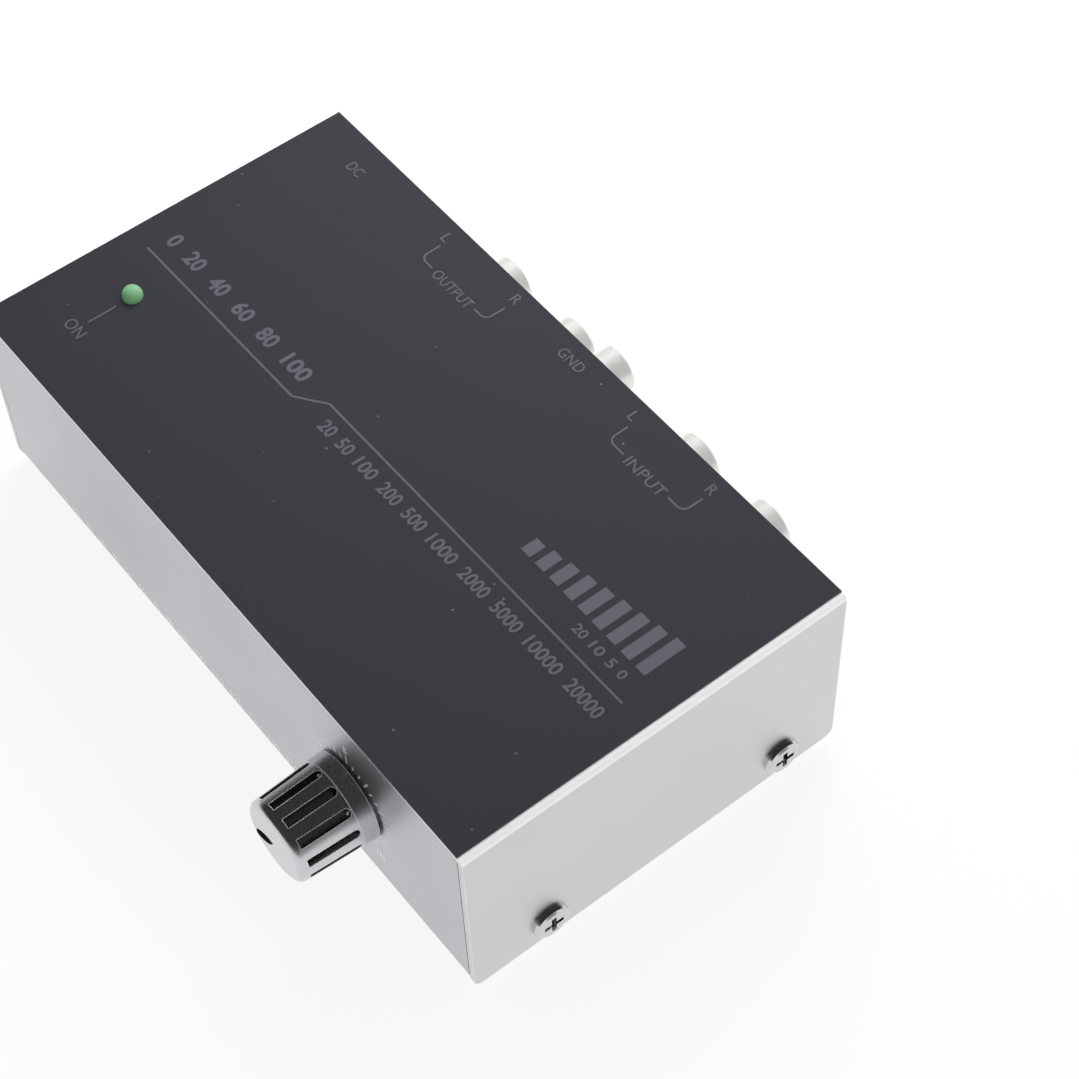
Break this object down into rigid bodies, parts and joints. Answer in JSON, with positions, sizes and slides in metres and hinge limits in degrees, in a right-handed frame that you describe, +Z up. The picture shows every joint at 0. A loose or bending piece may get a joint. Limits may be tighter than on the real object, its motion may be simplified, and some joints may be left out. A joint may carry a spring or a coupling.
{
  "type": "phono preamp",
  "caption": "Small folded metal case with a dark top, a fluted volume knob in front, a lamp, phono jacks, a ground post and a supply jack.",
  "frame": {"origin": "on the table under the middle of the whole preamp", "axes": "+X right as seen from the front, +Y to the rear, +Z up"},
  "size_m": [0.1122, 0.08, 0.035],
  "materials": {
    "silver_sheet": "fine satin",
    "dark_print": "satin printed film",
    "chrome_screw": "bright",
    "rubber": "matte",
    "board_green": "solder mask",
    "nickel": "bright nickel",
    "black_plastic": "moulded",
    "insulator_white": "moulded",
    "insulator_red": "moulded",
    "brass_contact": "tinned",
    "wire_cover": "flexible sleeve",
    "track_board": "resistive board",
    "shaft_metal": "turned",
    "knob_metal": "satin dark grey",
    "lamp_green": "clear tinted",
    "can_sleeve": "shrunk sleeve",
    "film_block": "dipped",
    "resistor_body": "lacquered"
  },
  "bodies": {
    "root": {"top_cover": "silver_sheet", "top_overlay": "dark_print", "bottom_pan": "silver_sheet", "cover_screws": "chrome_screw", "board_screws": "chrome_screw", "foot_front_left": "rubber", "foot_front_right": "rubber", "foot_rear_left": "rubber", "foot_rear_right": "rubber", "circuit_board": "board_green", "board_standoffs": "nickel", "output_jack_block": "black_plastic", "output_left_barrel": "nickel", "output_left_insulator": "insulator_white", "output_left_contact": "brass_contact", "output_right_barrel": "nickel", "output_right_insulator": "insulator_red", "output_right_contact": "brass_contact", "input_jack_block": "black_plastic", "input_left_barrel": "nickel", "input_left_insulator": "insulator_white", "input_left_contact": "brass_contact", "input_right_barrel": "nickel", "input_right_insulator": "insulator_red", "input_right_contact": "brass_contact", "dc_jack_housing": "black_plastic", "dc_jack_pin": "brass_contact", "dc_jack_spring": "brass_contact", "ground_stud": "nickel", "ground_inner_nut": "nickel", "ground_lug": "brass_contact", "ground_wire": "wire_cover", "pot_housing": "black_plastic", "pot_track": "track_board", "pot_bushing": "nickel", "pot_washer": "nickel", "pot_nut": "nickel", "pot_terminals": "brass_contact", "status_led": "lamp_green", "led_leads": "brass_contact", "led_spacer": "black_plastic", "input_amp_chip": "black_plastic", "output_amp_chip": "black_plastic", "supply_capacitors": "can_sleeve", "coupling_capacitors": "can_sleeve", "equaliser_capacitors": "film_block", "resistors": "resistor_body", "protection_diode": "black_plastic", "voltage_regulator": "black_plastic"},
    "knob": {"volume_knob": "knob_metal", "pot_shaft": "shaft_metal", "pot_wiper": "brass_contact"},
    "ground_washer_body": {"ground_washer": "nickel"},
    "ground_nut_body": {"ground_thumb_nut": "nickel"}
  },
  "joints": [
    {"name": "volume_turn", "type": "hinge", "parent": "root", "child": "knob", "pos_m": [0.0306, -0.0282, 0.0174], "axis": [0, 1, 0], "range_deg": [-30, 270]},
    {"name": "ground_washer_slide", "type": "slide", "parent": "root", "child": "ground_washer_body", "axis": [0, 1, 0], "range_m": [0, 0.00315]},
    {"name": "ground_nut_turn", "type": "hinge", "parent": "ground_washer_body", "child": "ground_nut_body", "pos_m": [0.0037, 0.0318, 0.0262], "axis": [0, 1, 0], "range_deg": [0, 1620.5]}
  ],
  "couplings": [
    {"joint": "ground_nut_turn", "follows": "ground_washer_slide", "rad_per_m": 8976}
  ]
}
